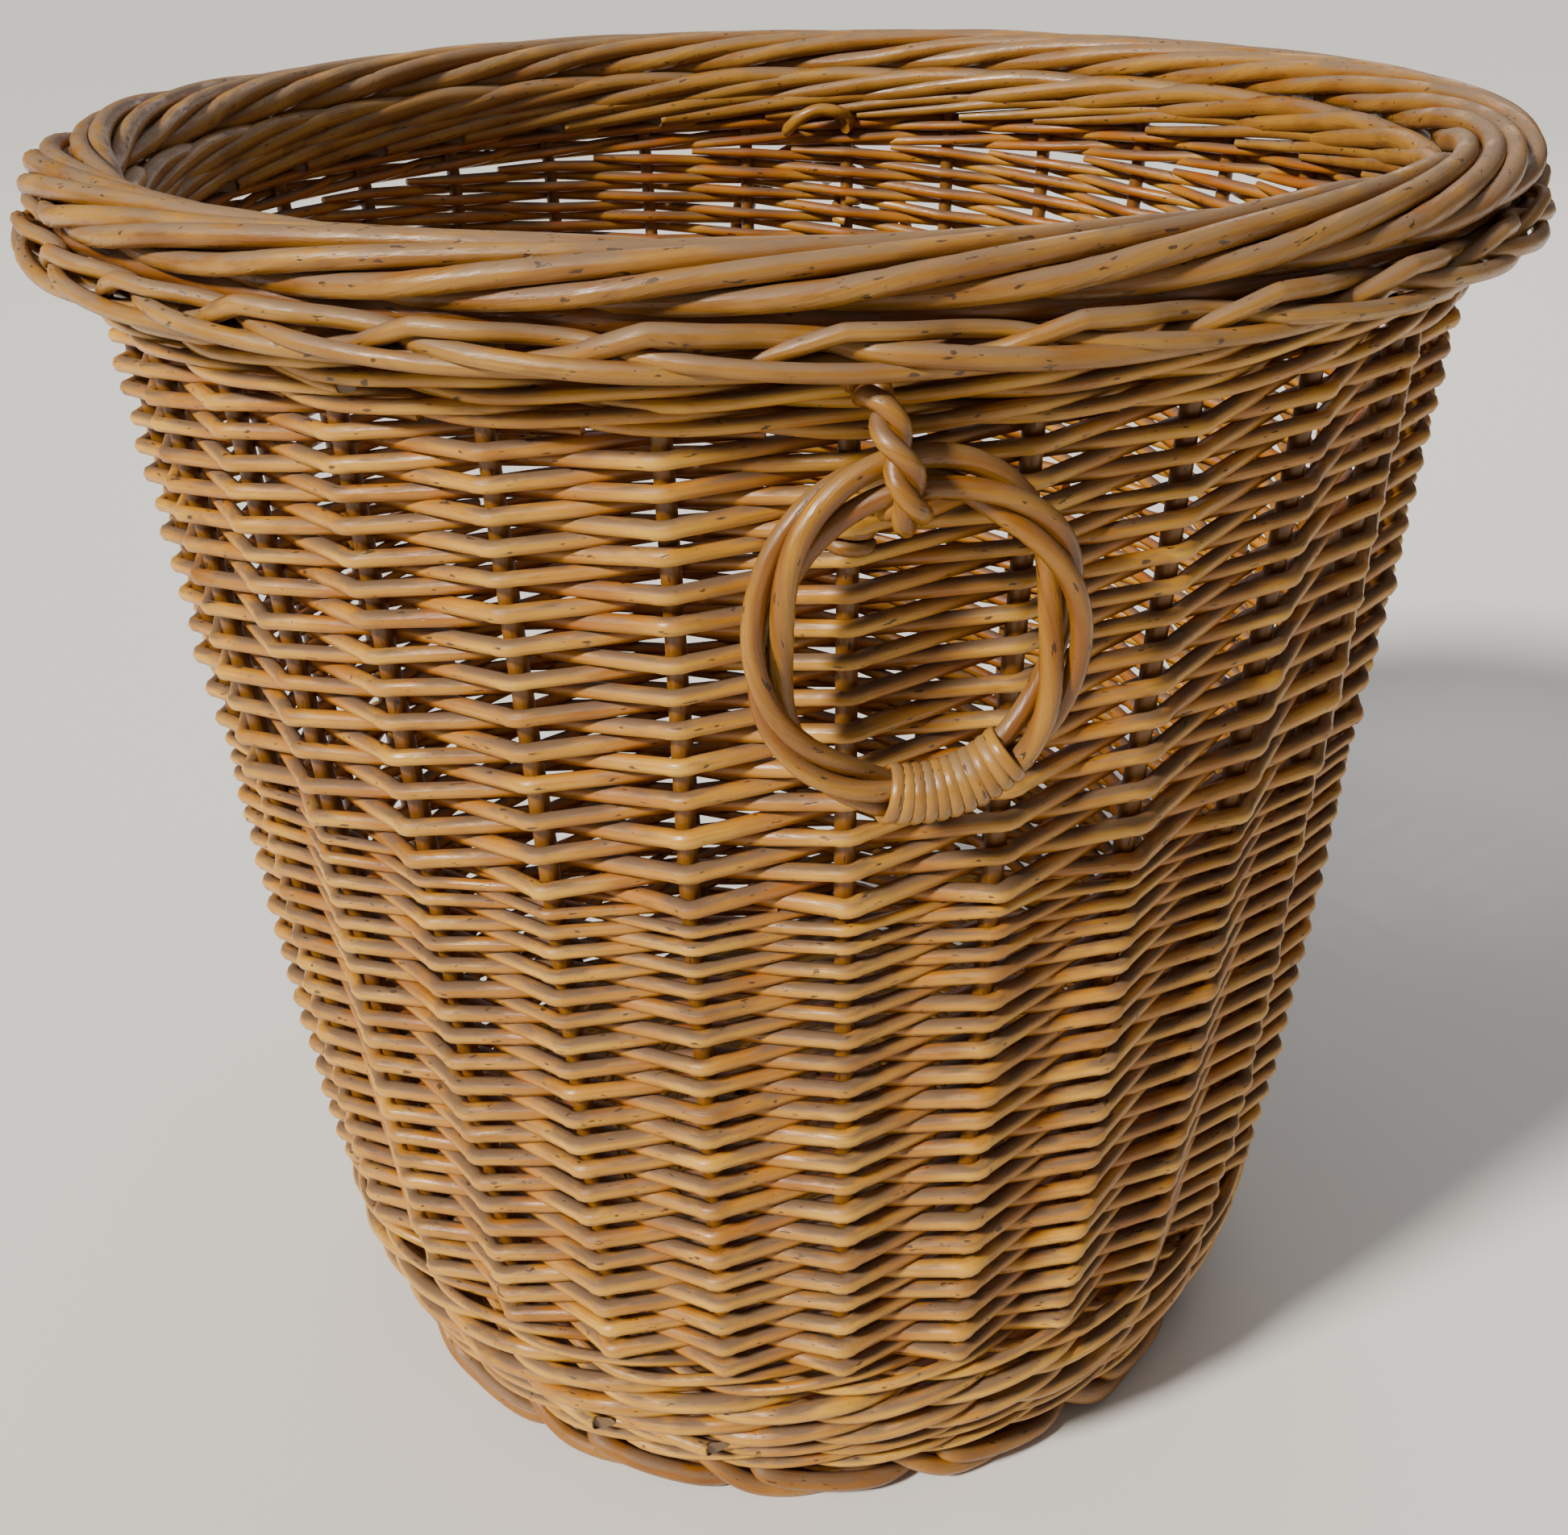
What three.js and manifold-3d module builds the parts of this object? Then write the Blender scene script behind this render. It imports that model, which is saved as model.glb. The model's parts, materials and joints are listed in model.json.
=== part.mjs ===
// Round willow basket with two hanging ring handles.
// Millimetres, +Z up, origin on the floor at the middle of the foot.
// Directions around the basket are angles from -Y, counting towards +X.

import * as THREE from 'three';
import { mergeVertices } from 'three/addons/utils/BufferGeometryUtils.js';
import Module from 'manifold-3d';

const wasm = await Module();
wasm.setup();

// Driving dimensions
const RIM_ACROSS = 380;
const HEIGHT = 359.4;
const FOOT_ACROSS = 264;
const STAKE_COUNT = 30;
const GAP = 0.3;

// Willow rods
const STAKE_RADIUS = 2.9;
const PEG_RADIUS = 2.3;
const WALL_HALF = 6.5;           // a stake between two weaving rods
const WALE_HALF = 7.5;           // waling stands a little prouder than the weave

// Heights of the rings of work, from the floor up
const FOOT_TOP = 17;
const BASE_TOP = 28.8;
const UPSETT_TOP = 62.7;
const LOWER_TOP = 212.7;
const UPPER_TOP = 322.4;
const WALE_TOP = 333.2;
const STAKE_BOTTOM = 20;
const STAKE_TOP = 350;

// Wall: leans out, bellies a little, and tucks in quickly to the foot
const WALL_LEVEL = 328;
const WALL_RADIUS = RIM_ACROSS / 2 - 21.7;
const WALL_LEAN = 27.5;
const WALL_BELLY = 6;
const FOOT_TUCK = 14.5;

// Foot and base
const FOOT_REACH = FOOT_ACROSS / 2;
const FOOT_WALL = 15;            // how far in from its outer edge the foot border goes
const FOOT_EDGE = 4;             // height of the foot border's worn lower edge
const FOOT_SHOULDER = 11;
const PEG_FOOT = [FOOT_REACH - 7.5, 10];
const PEG_HEAD = [FOOT_REACH + 3, 40];
const BASE_RADIUS = 122;
const BASE_HOLE = 31;
const STICK_Z = (FOOT_TOP + BASE_TOP) / 2;
const STICK_RADIUS = 4.6;
const STICK_PITCH = 9.6;
const STICK_SHORT = 4;           // how far the sticks stop inside the edge of the base
const STICKS_EACH_WAY = 4;
const CROSS_HALF = 22;
const THREADED_SQUASH = 0.42;

// Border
const ROLL_RADIUS = 11.3;
const ROLL_AT = RIM_ACROSS / 2 - 15.3;
const ROLL_Z = HEIGHT - ROLL_RADIUS;
const TRAC_BOTTOM_SET_BACK = 5;
const TRAC_WIDEST = [338.5, 342];
const TRAC_TOP = 347.5;
const TRAC_TOP_SET_BACK = 2.4;
const TRAC_CUP_START_DEG = -8;   // the trac is cupped to the roll's underside from here
const TRAC_CUP_STEP_DEG = 34;
const TAILS_THICK = 6;
const TAILS_BOTTOM = 324.6;
const TAILS_TOP = 336.2;

// Handles
const FIRST_STAKE_DEG = -9.6;
const FRONT_HANDLE_DEG = 6;
const BACK_HANDLE_DEG = 174;
const RING_WIDTH = 68;
const RING_HEIGHT = 76;
const RING_TUBE = 5;
const RING_REACH = 180.5;        // from the basket's axis to the middle of the hanging ring
const RING_HINGE_Z = 318.2;      // middle of the ring's rod where the tie holds it
const BINDING_WALL = 1.4;
const BINDING_FROM = 0.395;      // shares of the way round the ring, from its top
const BINDING_TO = 0.515;
const TIE_RADIUS = 2.6;
const TIE_CLEAR = 0.6;           // room between the ring's rod and the tie round it
const TIE_ABOVE = 10;            // where the tie goes through the wall, from the hinge
const TIE_BELOW = -9.4;

// Resolution: the rings of work are flat at each stake and turn a corner halfway to the next
const AROUND = STAKE_COUNT;
const ROD_SIDES = 6;
const PEG_SIDES = 4;

const radians = THREE.MathUtils.degToRad;
const stakeStep = 360 / STAKE_COUNT;

// ---- Materials ----

function willow(color, roughness) {
  return new THREE.MeshStandardMaterial({ color, roughness, metalness: 0 });
}

const stakeWillow = () => willow('#7a4a1c', 0.7);
const weaverWillow = () => willow('#be8c4b', 0.6);
const borderWillow = () => willow('#af8c5f', 0.65);
const baseWillow = () => willow('#a77a42', 0.7);
const ringWillow = () => willow('#a5732d', 0.4);
const skeinWillow = () => willow('#b07c35', 0.4);

// ---- Shape helpers ----

// Straight stretches between chosen points, one extrusion step to each.
class PointLine extends THREE.Curve {
  constructor(points) {
    super();
    this.points = points;
  }

  getPoint(t) {
    const along = Math.min(Math.max(t, 0), 1) * (this.points.length - 1);
    const index = Math.min(Math.floor(along), this.points.length - 2);
    return this.points[index].clone().lerp(this.points[index + 1], along - index);
  }

  getPointAt(u) {
    return this.getPoint(u);
  }

  getTangentAt(u) {
    return this.getTangent(u);
  }
}

function roundShape(radius, sides, squash = 1) {
  const corners = [];
  for (let i = 0; i < sides; i++) {
    const angle = ((i + 0.5) / sides) * 2 * Math.PI;
    corners.push(new THREE.Vector2(radius * squash * Math.cos(angle), radius * Math.sin(angle)));
  }
  return new THREE.Shape(corners);
}

function rod(points, radius, sides = ROD_SIDES, squash = 1) {
  const extrudePath = new PointLine(points);
  const steps = points.length - 1;
  return new THREE.ExtrudeGeometry(roundShape(radius, sides, squash), { steps, extrudePath });
}

// A ring of work turned about the basket's axis from its section, given as [radius, height] pairs.
function turned(section) {
  const closed = [...section, section[0]].map(([r, z]) => new THREE.Vector2(r, z));
  const ring = new THREE.LatheGeometry(closed, AROUND).rotateX(Math.PI / 2);
  return facetedAtStakes(ring, 0);
}

// Turns a ring so that its corners, the first of them at cornerDeg, come halfway between stakes.
function facetedAtStakes(ring, cornerDeg) {
  return ring.rotateZ(radians(FIRST_STAKE_DEG + stakeStep / 2 - cornerDeg));
}

function toSolid(geometry) {
  const bare = geometry.clone();
  bare.deleteAttribute('normal');
  bare.deleteAttribute('uv');
  const merged = mergeVertices(bare, 1e-4);
  const vertProperties = new Float32Array(merged.attributes.position.array);
  const triVerts = new Uint32Array(merged.index.array);
  const solid = new wasm.Manifold(new wasm.Mesh({ numProp: 3, vertProperties, triVerts }));
  if (solid.volume() > 0) return solid;
  for (let i = 0; i < triVerts.length; i += 3) {
    [triVerts[i], triVerts[i + 1]] = [triVerts[i + 1], triVerts[i]];
  }
  return new wasm.Manifold(new wasm.Mesh({ numProp: 3, vertProperties, triVerts }));
}

function toGeometry(solid) {
  const { vertProperties, triVerts } = solid.getMesh();
  const geometry = new THREE.BufferGeometry();
  geometry.setAttribute('position', new THREE.BufferAttribute(new Float32Array(vertProperties), 3));
  geometry.setIndex(new THREE.BufferAttribute(new Uint32Array(triVerts), 1));
  geometry.computeVertexNormals();
  return geometry;
}

function cut(geometry, tools) {
  let solid = toSolid(geometry);
  for (const tool of tools) solid = solid.subtract(toSolid(tool));
  return toGeometry(solid);
}

function join(geometries) {
  const [first, ...rest] = geometries.map(toSolid);
  return toGeometry(rest.reduce((sum, solid) => sum.add(solid), first));
}

function piece(name, geometry, material) {
  const mesh = new THREE.Mesh(toGeometry(toSolid(geometry)), material);
  mesh.name = name;
  return mesh;
}

function copiesAround(geometry, count, firstDeg) {
  const copies = [];
  for (let i = 0; i < count; i++) {
    copies.push(geometry.clone().rotateZ(radians(firstDeg + (i * 360) / count)));
  }
  return copies;
}

function twoDigits(number) {
  return String(number).padStart(2, '0');
}

// ---- Wall ----

// Distance from the axis to the middle of the stakes.
function wallRadius(z) {
  const down = 1 - z / WALL_LEVEL;
  const tuck = Math.max(0, 1 - z / UPSETT_TOP);
  return WALL_RADIUS - WALL_LEAN * down - WALL_BELLY * down ** 2 - FOOT_TUCK * tuck ** 2;
}

function stakeRod(radius, endGap) {
  const levels = [STAKE_BOTTOM - endGap, UPSETT_TOP, LOWER_TOP, STAKE_TOP + endGap];
  return rod(levels.map((z) => new THREE.Vector3(0, -wallRadius(z), z)), radius);
}

function stakes() {
  const shape = stakeRod(STAKE_RADIUS, 0);
  const meshes = [];
  for (let i = 0; i < STAKE_COUNT; i++) {
    const mesh = piece(`stake_${twoDigits(i)}`, shape, stakeWillow());
    mesh.rotation.z = radians(FIRST_STAKE_DEG + i * stakeStep);
    meshes.push(mesh);
  }
  return meshes;
}

function stakeTunnels() {
  return copiesAround(stakeRod(STAKE_RADIUS + GAP, GAP), STAKE_COUNT, FIRST_STAKE_DEG);
}

// A band of weaving between two heights, as thick as a stake between two rods.
function weaveBand(bottom, top, half) {
  return turned([
    [wallRadius(bottom) - half, bottom],
    [wallRadius(bottom) + half, bottom],
    [wallRadius(top) + half, top],
    [wallRadius(top) - half, top],
  ]);
}

function lowerWeave() {
  const band = weaveBand(UPSETT_TOP + GAP, LOWER_TOP, WALL_HALF);
  return piece('lower_weave', cut(band, stakeTunnels()), weaverWillow());
}

function upperWeave() {
  const band = weaveBand(LOWER_TOP + GAP, UPPER_TOP, WALL_HALF);
  return piece('upper_weave', cut(band, [...stakeTunnels(), ...tieHoles()]), weaverWillow());
}

function topWale() {
  const band = weaveBand(UPPER_TOP + GAP, WALE_TOP, WALE_HALF);
  return piece('top_wale', cut(band, [...stakeTunnels(), ...tieHoles()]), weaverWillow());
}

// ---- Foot and base ----

// The foot rods' uprights lean out with the wall, halfway between the stakes.
function footPeg(radius, endGap) {
  const start = new THREE.Vector3(0, -PEG_FOOT[0], PEG_FOOT[1]);
  const end = new THREE.Vector3(0, -PEG_HEAD[0], PEG_HEAD[1] + endGap);
  return rod([start, end], radius, PEG_SIDES);
}

function footPegs(radius, endGap) {
  return copiesAround(footPeg(radius, endGap), STAKE_COUNT, FIRST_STAKE_DEG + stakeStep / 2);
}

function footBorder() {
  const ring = turned([
    [FOOT_REACH - FOOT_WALL * 2 / 3, 0],
    [FOOT_REACH - FOOT_WALL / 6, 0],
    [FOOT_REACH, FOOT_EDGE],
    [FOOT_REACH, FOOT_SHOULDER],
    [FOOT_REACH - FOOT_WALL / 10, FOOT_TOP],
    [FOOT_REACH - FOOT_WALL, FOOT_TOP],
    [FOOT_REACH - FOOT_WALL, FOOT_EDGE],
  ]);
  return piece('foot_border', join([ring, ...footPegs(PEG_RADIUS, 0)]), borderWillow());
}

function upsettWale() {
  const bottom = FOOT_TOP + GAP;
  const middle = (bottom + UPSETT_TOP) / 2;
  const lap = 2.5;
  const ring = turned([
    [BASE_RADIUS + GAP, bottom],
    [wallRadius(bottom) + WALE_HALF, bottom],
    [wallRadius(middle) + WALE_HALF, middle],
    [wallRadius(UPSETT_TOP) + WALE_HALF, UPSETT_TOP],
    [wallRadius(UPSETT_TOP) - WALL_HALF, UPSETT_TOP],
    [wallRadius(middle) - WALL_HALF, middle],
    [BASE_RADIUS - lap, BASE_TOP + GAP],
    [BASE_RADIUS + GAP, BASE_TOP + GAP],
  ]);
  const sockets = [...stakeTunnels(), ...footPegs(PEG_RADIUS + GAP, GAP)];
  return piece('upsett_wale', cut(ring, sockets), weaverWillow());
}

// One base stick: straight through the cross, then splayed out to its place among the spokes.
function baseStick(index, radius, squash, endGap) {
  const side = index - (STICKS_EACH_WAY - 1) / 2;
  const offset = side * STICK_PITCH;
  const reach = BASE_RADIUS - STICK_SHORT + endGap;
  const splay = radians((side * 90) / STICKS_EACH_WAY);
  const x = reach * Math.cos(splay);
  const y = reach * Math.sin(splay);
  const points = [
    new THREE.Vector3(-x, y, STICK_Z),
    new THREE.Vector3(-CROSS_HALF, offset, STICK_Z),
    new THREE.Vector3(CROSS_HALF, offset, STICK_Z),
    new THREE.Vector3(x, y, STICK_Z),
  ];
  return rod(points, radius, 8, squash);
}

function slitStick(index, extra = 0) {
  return baseStick(index, STICK_RADIUS + extra, 1, extra);
}

// The threaded sticks are pared flat so that they pass through the slits of the others.
function threadedStick(index, extra = 0) {
  const squash = (STICK_RADIUS * THREADED_SQUASH + extra) / (STICK_RADIUS + extra);
  return baseStick(index, STICK_RADIUS + extra, squash, extra).rotateZ(Math.PI / 2);
}

function slit() {
  const width = STICKS_EACH_WAY * STICK_PITCH + 2;
  const height = 2 * (STICK_RADIUS * THREADED_SQUASH + GAP);
  return new THREE.BoxGeometry(width, 3 * CROSS_HALF, height).translate(0, 0, STICK_Z);
}

function baseSticks() {
  const meshes = [];
  for (let i = 0; i < STICKS_EACH_WAY; i++) {
    meshes.push(piece(`base_stick_slit_${i}`, cut(slitStick(i), [slit()]), baseWillow()));
    meshes.push(piece(`base_stick_threaded_${i}`, threadedStick(i), baseWillow()));
  }
  return meshes;
}

function baseWeave() {
  const disc = turned([
    [BASE_HOLE, FOOT_TOP + GAP],
    [BASE_RADIUS, FOOT_TOP + GAP],
    [BASE_RADIUS, BASE_TOP],
    [BASE_HOLE, BASE_TOP],
  ]);
  const channels = [];
  for (let i = 0; i < STICKS_EACH_WAY; i++) channels.push(slitStick(i, GAP), threadedStick(i, GAP));
  return piece('base_weave', cut(disc, channels), baseWillow());
}

// ---- Border ----

// The roll of rods that wraps over the ends of the stakes.
function borderRoll() {
  const roll = new THREE.TorusGeometry(ROLL_AT, ROLL_RADIUS, 8, AROUND).translate(0, 0, ROLL_Z);
  return piece('border_roll', cut(facetedAtStakes(roll, 90), stakeTunnels()), borderWillow());
}

// The plaited edge under the roll: it starts among the stakes and lies against the roll's underside.
function borderTrac() {
  const section = [
    [WALL_RADIUS - TRAC_BOTTOM_SET_BACK, WALE_TOP + GAP],
    [RIM_ACROSS / 2 - TRAC_BOTTOM_SET_BACK, WALE_TOP + GAP],
    [RIM_ACROSS / 2, TRAC_WIDEST[0]],
    [RIM_ACROSS / 2, TRAC_WIDEST[1]],
    [RIM_ACROSS / 2 - TRAC_TOP_SET_BACK, TRAC_TOP],
  ];
  for (let i = 0; i <= 3; i++) {
    const angle = radians(TRAC_CUP_START_DEG - i * TRAC_CUP_STEP_DEG);
    const reach = ROLL_RADIUS + 3 * GAP;
    section.push([ROLL_AT + reach * Math.cos(angle), ROLL_Z + reach * Math.sin(angle)]);
  }
  return piece('border_trac', cut(turned(section), stakeTunnels()), borderWillow());
}

// The tails of the border rods, packed along the inside under the roll.
function borderTails() {
  const outer = wallRadius(UPPER_TOP) - WALE_HALF - GAP;
  const ring = turned([
    [outer - TAILS_THICK, TAILS_BOTTOM + TAILS_THICK * 0.4],
    [outer - TAILS_THICK / 2, TAILS_BOTTOM],
    [outer, TAILS_BOTTOM + TAILS_THICK * 0.13],
    [outer, WALE_TOP],
    [outer - TAILS_THICK / 3, TAILS_TOP],
    [outer - TAILS_THICK, TAILS_TOP - TAILS_THICK * 0.28],
  ]);
  return piece('border_tails', cut(ring, tieHoles()), borderWillow());
}

// ---- Handles, modelled hanging on the -Y side ----

class RingLine extends THREE.Curve {
  getPoint(t) {
    const angle = t * 2 * Math.PI;
    const halfWidth = RING_WIDTH / 2 - RING_TUBE;
    const halfHeight = RING_HEIGHT / 2 - RING_TUBE;
    const z = RING_HINGE_Z - halfHeight * (1 - Math.cos(angle));
    return new THREE.Vector3(halfWidth * Math.sin(angle), -RING_REACH, z);
  }
}

function ringTube(radius) {
  return new THREE.TubeGeometry(new RingLine(), 32, radius, 8, true);
}

function ring(name) {
  return piece(name, ringTube(RING_TUBE), ringWillow());
}

// Skein wound over the lap of the ring's rods, low on one side.
function ringBinding(name) {
  const line = new RingLine();
  const steps = 5;
  const points = [];
  for (let i = 0; i <= steps; i++) {
    points.push(line.getPoint(BINDING_FROM + ((BINDING_TO - BINDING_FROM) * i) / steps));
  }
  const sleeve = rod(points, RING_TUBE + BINDING_WALL, 8);
  return piece(name, cut(sleeve, [ringTube(RING_TUBE + GAP)]), skeinWillow());
}

// The tie: out from under the border, round the ring, and back in through the weave.
function tieLoop(radius) {
  const eye = RING_TUBE + TIE_RADIUS + TIE_CLEAR;
  const above = RING_HINGE_Z + TIE_ABOVE;
  const below = RING_HINGE_Z + TIE_BELOW;
  const wall = wallRadius(above);
  const path = [
    [RING_REACH + eye, RING_HINGE_Z],
    [RING_REACH + eye * 0.72, RING_HINGE_Z + eye * 0.85],
    [RING_REACH - 3, above],
    [wall, above + 0.2],
    [wall - 12, above - 1.7],
    [wall - 15, RING_HINGE_Z + 0.3],
    [wall - 11, below + 2],
    [wallRadius(below), below],
    [RING_REACH - 3, RING_HINGE_Z - eye - 0.8],
    [RING_REACH + eye * 0.68, RING_HINGE_Z - eye * 0.8],
  ];
  const points = path.map(([r, z]) => new THREE.Vector3(0, -r, z));
  const curve = new THREE.CatmullRomCurve3(points, true, 'centripetal');
  return new THREE.TubeGeometry(curve, 26, radius, ROD_SIDES, true);
}

function tieHoles() {
  return [FRONT_HANDLE_DEG, BACK_HANDLE_DEG].map((deg) => tieLoop(TIE_RADIUS + GAP).rotateZ(radians(deg)));
}

function handle(side, deg) {
  const group = new THREE.Group();
  group.rotation.z = radians(deg);
  group.add(ring(`${side}_ring`));
  group.add(ringBinding(`${side}_ring_binding`));
  group.add(piece(`${side}_ring_tie`, tieLoop(TIE_RADIUS), ringWillow()));
  return group;
}

// ---- Basket ----

const basket = new THREE.Group();
basket.add(footBorder(), baseWeave(), ...baseSticks(), upsettWale());
basket.add(...stakes());
basket.add(lowerWeave(), upperWeave(), topWale());
basket.add(borderTrac(), borderRoll(), borderTails());
basket.add(handle('front', FRONT_HANDLE_DEG), handle('back', BACK_HANDLE_DEG));

export default basket;
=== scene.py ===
"""A woven wicker basket: real willow rods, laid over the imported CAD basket.

Lengths in this file are millimetres until a mesh is made. Directions are degrees from the front
(-Y) towards +X, the way that the rods are laid.
"""

import json
import math

import bpy
import numpy as np
from mathutils import Euler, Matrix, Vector


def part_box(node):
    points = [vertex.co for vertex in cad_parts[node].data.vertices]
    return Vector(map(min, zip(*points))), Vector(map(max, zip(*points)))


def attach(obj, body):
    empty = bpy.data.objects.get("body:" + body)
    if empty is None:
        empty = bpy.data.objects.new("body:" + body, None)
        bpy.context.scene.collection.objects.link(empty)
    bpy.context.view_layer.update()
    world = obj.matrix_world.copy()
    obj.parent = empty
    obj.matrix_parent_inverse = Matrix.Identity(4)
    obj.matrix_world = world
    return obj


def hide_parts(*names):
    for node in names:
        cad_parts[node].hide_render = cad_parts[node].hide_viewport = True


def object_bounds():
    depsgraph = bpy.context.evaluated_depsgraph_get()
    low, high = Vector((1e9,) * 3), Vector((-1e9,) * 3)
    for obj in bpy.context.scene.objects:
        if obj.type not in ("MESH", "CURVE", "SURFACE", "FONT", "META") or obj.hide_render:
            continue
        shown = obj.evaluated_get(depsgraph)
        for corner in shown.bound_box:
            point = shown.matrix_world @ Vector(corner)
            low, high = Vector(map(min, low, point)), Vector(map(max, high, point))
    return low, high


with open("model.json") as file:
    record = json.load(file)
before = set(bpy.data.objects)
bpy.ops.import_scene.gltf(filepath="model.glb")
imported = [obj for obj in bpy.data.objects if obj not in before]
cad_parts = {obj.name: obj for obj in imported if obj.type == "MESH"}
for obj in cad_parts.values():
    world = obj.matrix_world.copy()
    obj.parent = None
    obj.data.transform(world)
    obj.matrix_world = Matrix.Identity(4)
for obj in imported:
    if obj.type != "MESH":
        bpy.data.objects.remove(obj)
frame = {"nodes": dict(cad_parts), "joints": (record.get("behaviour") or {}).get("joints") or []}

cad_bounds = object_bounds()
rng = np.random.RandomState(11)

MM = 0.001
UP = np.array([0.0, 0.0, 1.0])


# ---------------------------------------------------------------- sizes, read off the frame

def box_mm(node):
    low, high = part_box(node)
    return np.array(low) / MM, np.array(high) / MM


def levels(node):
    low, high = box_mm(node)
    return low[2], high[2]


def reach(node):
    return box_mm(node)[1][0]


def direction_of(node):
    low, high = box_mm(node)
    middle = (low + high) / 2
    return math.degrees(math.atan2(middle[0], -middle[1]))


def foot_size():
    """Reach of the foot border below the waling, where no peg is."""
    corners = np.array([v.co for v in frame["nodes"]["foot_border"].data.vertices]) / MM
    low = corners[corners[:, 2] < UPSETT[0]]
    return float(np.hypot(low[:, 0], low[:, 1]).max())


def stake_levels():
    """Heights and distances from the axis of the bends in a CAD stake, which are over 15 mm apart."""
    corners = np.array([v.co for v in frame["nodes"]["stake_00"].data.vertices]) / MM
    corners = corners[np.argsort(corners[:, 2])]
    groups = np.split(corners, np.where(np.diff(corners[:, 2]) > 15)[0] + 1)
    middles = np.array([(g.min(0) + g.max(0)) / 2 for g in groups])
    return middles[:, 2], np.hypot(middles[:, 0], middles[:, 1])


STAKE_Z, STAKE_R = stake_levels()
STAKE_COUNT = sum(name.startswith("stake_") for name in frame["nodes"])
STEP = 360 / STAKE_COUNT
FIRST_STAKE = direction_of("stake_00")

ROLL = levels("border_roll")
UPSETT = levels("upsett_wale")
LOWER = levels("lower_weave")
UPPER = levels("upper_weave")
TOP_WALE = levels("top_wale")
FOOT_REACH = foot_size()
TRAC_REACH = reach("border_trac")
ROLL_REACH = reach("border_roll")
ROLL_HALF_WIDTH = (ROLL[1] - ROLL[0]) / 2
ROLL_RADIUS = ROLL_REACH - ROLL_HALF_WIDTH
BASE = levels("base_weave")
BASE_REACH = reach("base_weave")

STAKE_THICK_BELOW = 5.8
STAKE_THICK_ABOVE = 4.4
BACKING_STEP = 6
FOOT_PAIRS = 15
FOOT_FIRST = 9.7


def wall_radius(z):
    """Distance from the axis to the middle of a stake: a smooth line through the CAD stake's bends."""
    z = np.asarray(z, float)
    slopes = np.diff(STAKE_R) / np.diff(STAKE_Z)
    inner = 2 * slopes[1:] * slopes[:-1] / (slopes[1:] + slopes[:-1])
    ends = np.concatenate([slopes[:1], inner, slopes[-1:]])
    i = np.clip(np.searchsorted(STAKE_Z, z) - 1, 0, len(STAKE_Z) - 2)
    span = STAKE_Z[i + 1] - STAKE_Z[i]
    t = (z - STAKE_Z[i]) / span
    return (
        STAKE_R[i] * (2 * t**3 - 3 * t**2 + 1)
        + span * ends[i] * (t**3 - 2 * t**2 + t)
        + STAKE_R[i + 1] * (3 * t**2 - 2 * t**3)
        + span * ends[i + 1] * (t**3 - t**2)
    )


def stake_half(z):
    share = (np.asarray(z, float) - STAKE_Z[0]) / (STAKE_Z[-1] - STAKE_Z[0])
    return (STAKE_THICK_BELOW + (STAKE_THICK_ABOVE - STAKE_THICK_BELOW) * share) / 2


def polar(direction, radius, z):
    a = np.radians(direction)
    return np.stack(np.broadcast_arrays(radius * np.sin(a), -radius * np.cos(a), z), -1)


# ---------------------------------------------------------------- lines

def unit(v):
    return v / np.maximum(np.linalg.norm(v, axis=-1, keepdims=True), 1e-9)


def bent(keys, radii, corner):
    """Straight runs between keys with a small bend at each. keys are (lines, keys, 3)."""
    before, at, after = keys[:, :-2], keys[:, 1:-1], keys[:, 2:]
    enter = at + corner * (before - at)
    leave = at + corner * (after - at)
    pull = 2 * at - (enter + leave) / 2
    ts = np.linspace(0, 1, 5)
    pieces = [(1 - t) ** 2 * enter + 2 * t * (1 - t) * pull + t**2 * leave for t in ts]
    pieces.append((at + after) / 2)
    inner = np.stack(pieces, 2)
    count = inner.shape[2]
    inner = inner.reshape(len(keys), -1, 3)[:, :-1]
    line = np.concatenate([keys[:, :1], inner, keys[:, -1:]], 1)
    steps = np.repeat(np.arange(1, keys.shape[1] - 1), count)[:-1]
    thick = np.concatenate([radii[:, :1], radii[:, steps], radii[:, -1:]], 1)
    return line, thick


def smooth(keys, per_span=5):
    """A smooth line through the keys (lines, keys, n): Catmull-Rom."""
    first = 2 * keys[:, :1] - keys[:, 1:2]
    last = 2 * keys[:, -1:] - keys[:, -2:-1]
    p = np.concatenate([first, keys, last], 1)
    p0, p1, p2, p3 = p[:, :-3], p[:, 1:-2], p[:, 2:-1], p[:, 3:]
    pieces = []
    for t in np.arange(per_span) / per_span:
        pieces.append(
            0.5
            * (
                2 * p1
                + (p2 - p0) * t
                + (2 * p0 - 5 * p1 + 4 * p2 - p3) * t**2
                + (3 * p1 - p0 - 3 * p2 + p3) * t**3
            )
        )
    line = np.stack(pieces, 2).reshape(len(keys), -1, keys.shape[-1])
    return np.concatenate([line, keys[:, -1:]], 1)


def around(keys, turns, per_span=5):
    """The same rod at each of several directions. keys are (direction, radius, z), from its start."""
    keys = np.array(keys, float)
    fine = smooth(keys[None], per_span)
    turns = np.asarray(turns, float)[:, None]
    return polar(fine[..., 0] + turns, fine[..., 1], fine[..., 2])


# ---------------------------------------------------------------- rods into meshes

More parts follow.
